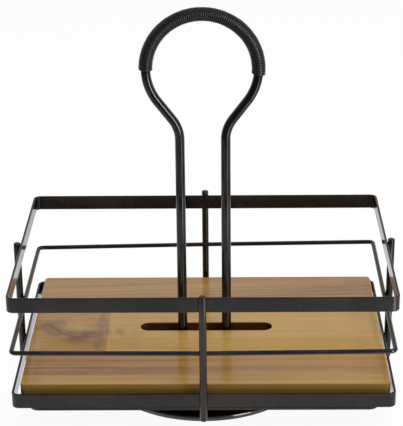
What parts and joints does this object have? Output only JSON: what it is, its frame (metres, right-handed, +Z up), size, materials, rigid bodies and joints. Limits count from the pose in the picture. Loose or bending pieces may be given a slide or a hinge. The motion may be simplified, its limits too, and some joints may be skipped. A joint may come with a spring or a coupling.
{
  "type": "turntable condiment caddy",
  "caption": "Rotating flat-bar caddy with a loose slotted wood board, a tall looped rod handle with a cord-wound grip, and a round turntable foot.",
  "frame": {"origin": "on the table, on the turntable's axis, at the centre of the bounding box's bottom face", "axes": "+X along the basket's long side, +Y to the back, +Z up along the turntable's axis"},
  "size_m": [0.324, 0.228, 0.3309],
  "materials": {
    "frame_paint": "satin bronze-black paint",
    "grip_cord": "tightly wound black cord",
    "board_wood": "oiled edge-glued strips",
    "foot_enamel": "gloss black enamel",
    "race_steel": "zinc plated",
    "cage_brass": "stamped sheet",
    "ball_steel": "polished",
    "fastener_steel": "zinc plated",
    "pad_rubber": "matt"
  },
  "bodies": {
    "foot": {"foot_disc": "foot_enamel", "lower_race": "race_steel", "race_rivet_1": "fastener_steel", "race_rivet_2": "fastener_steel", "race_rivet_3": "fastener_steel", "race_rivet_4": "fastener_steel", "rubber_pad_1": "pad_rubber", "rubber_pad_2": "pad_rubber", "rubber_pad_3": "pad_rubber", "rubber_pad_4": "pad_rubber"},
    "bearing_cage": {"ball_cage": "cage_brass", "ball_01": "ball_steel", "ball_02": "ball_steel", "ball_03": "ball_steel", "ball_04": "ball_steel", "ball_05": "ball_steel", "ball_06": "ball_steel", "ball_07": "ball_steel", "ball_08": "ball_steel", "ball_09": "ball_steel", "ball_10": "ball_steel", "ball_11": "ball_steel", "ball_12": "ball_steel"},
    "caddy": {"bottom_band": "frame_paint", "top_band": "frame_paint", "middle_rail": "frame_paint", "front_upright": "frame_paint", "back_upright": "frame_paint", "left_upright": "frame_paint", "right_upright": "frame_paint", "base_plate": "frame_paint", "handle_rod": "frame_paint", "grip_wrap": "grip_cord", "upper_race": "race_steel", "handle_screw_left": "fastener_steel", "handle_screw_right": "fastener_steel", "handle_washer_left": "fastener_steel", "handle_washer_right": "fastener_steel", "centre_pivot": "fastener_steel", "pivot_washer": "fastener_steel"},
    "board": {"wood_board": "board_wood"}
  },
  "joints": [
    {"name": "turntable_spin", "type": "hinge", "parent": "foot", "child": "caddy", "pos_m": [0, 0, 0.01975], "axis": [0, 0, 1], "continuous": true},
    {"name": "cage_spin", "type": "hinge", "parent": "foot", "child": "bearing_cage", "pos_m": [0, 0, 0.01975], "axis": [0, 0, 1], "continuous": true},
    {"name": "board_lift", "type": "slide", "parent": "caddy", "child": "board", "axis": [0, 0, 1], "range_m": [0, 0.31]}
  ],
  "couplings": [
    {"joint": "cage_spin", "follows": "turntable_spin", "ratio": 0.5}
  ]
}
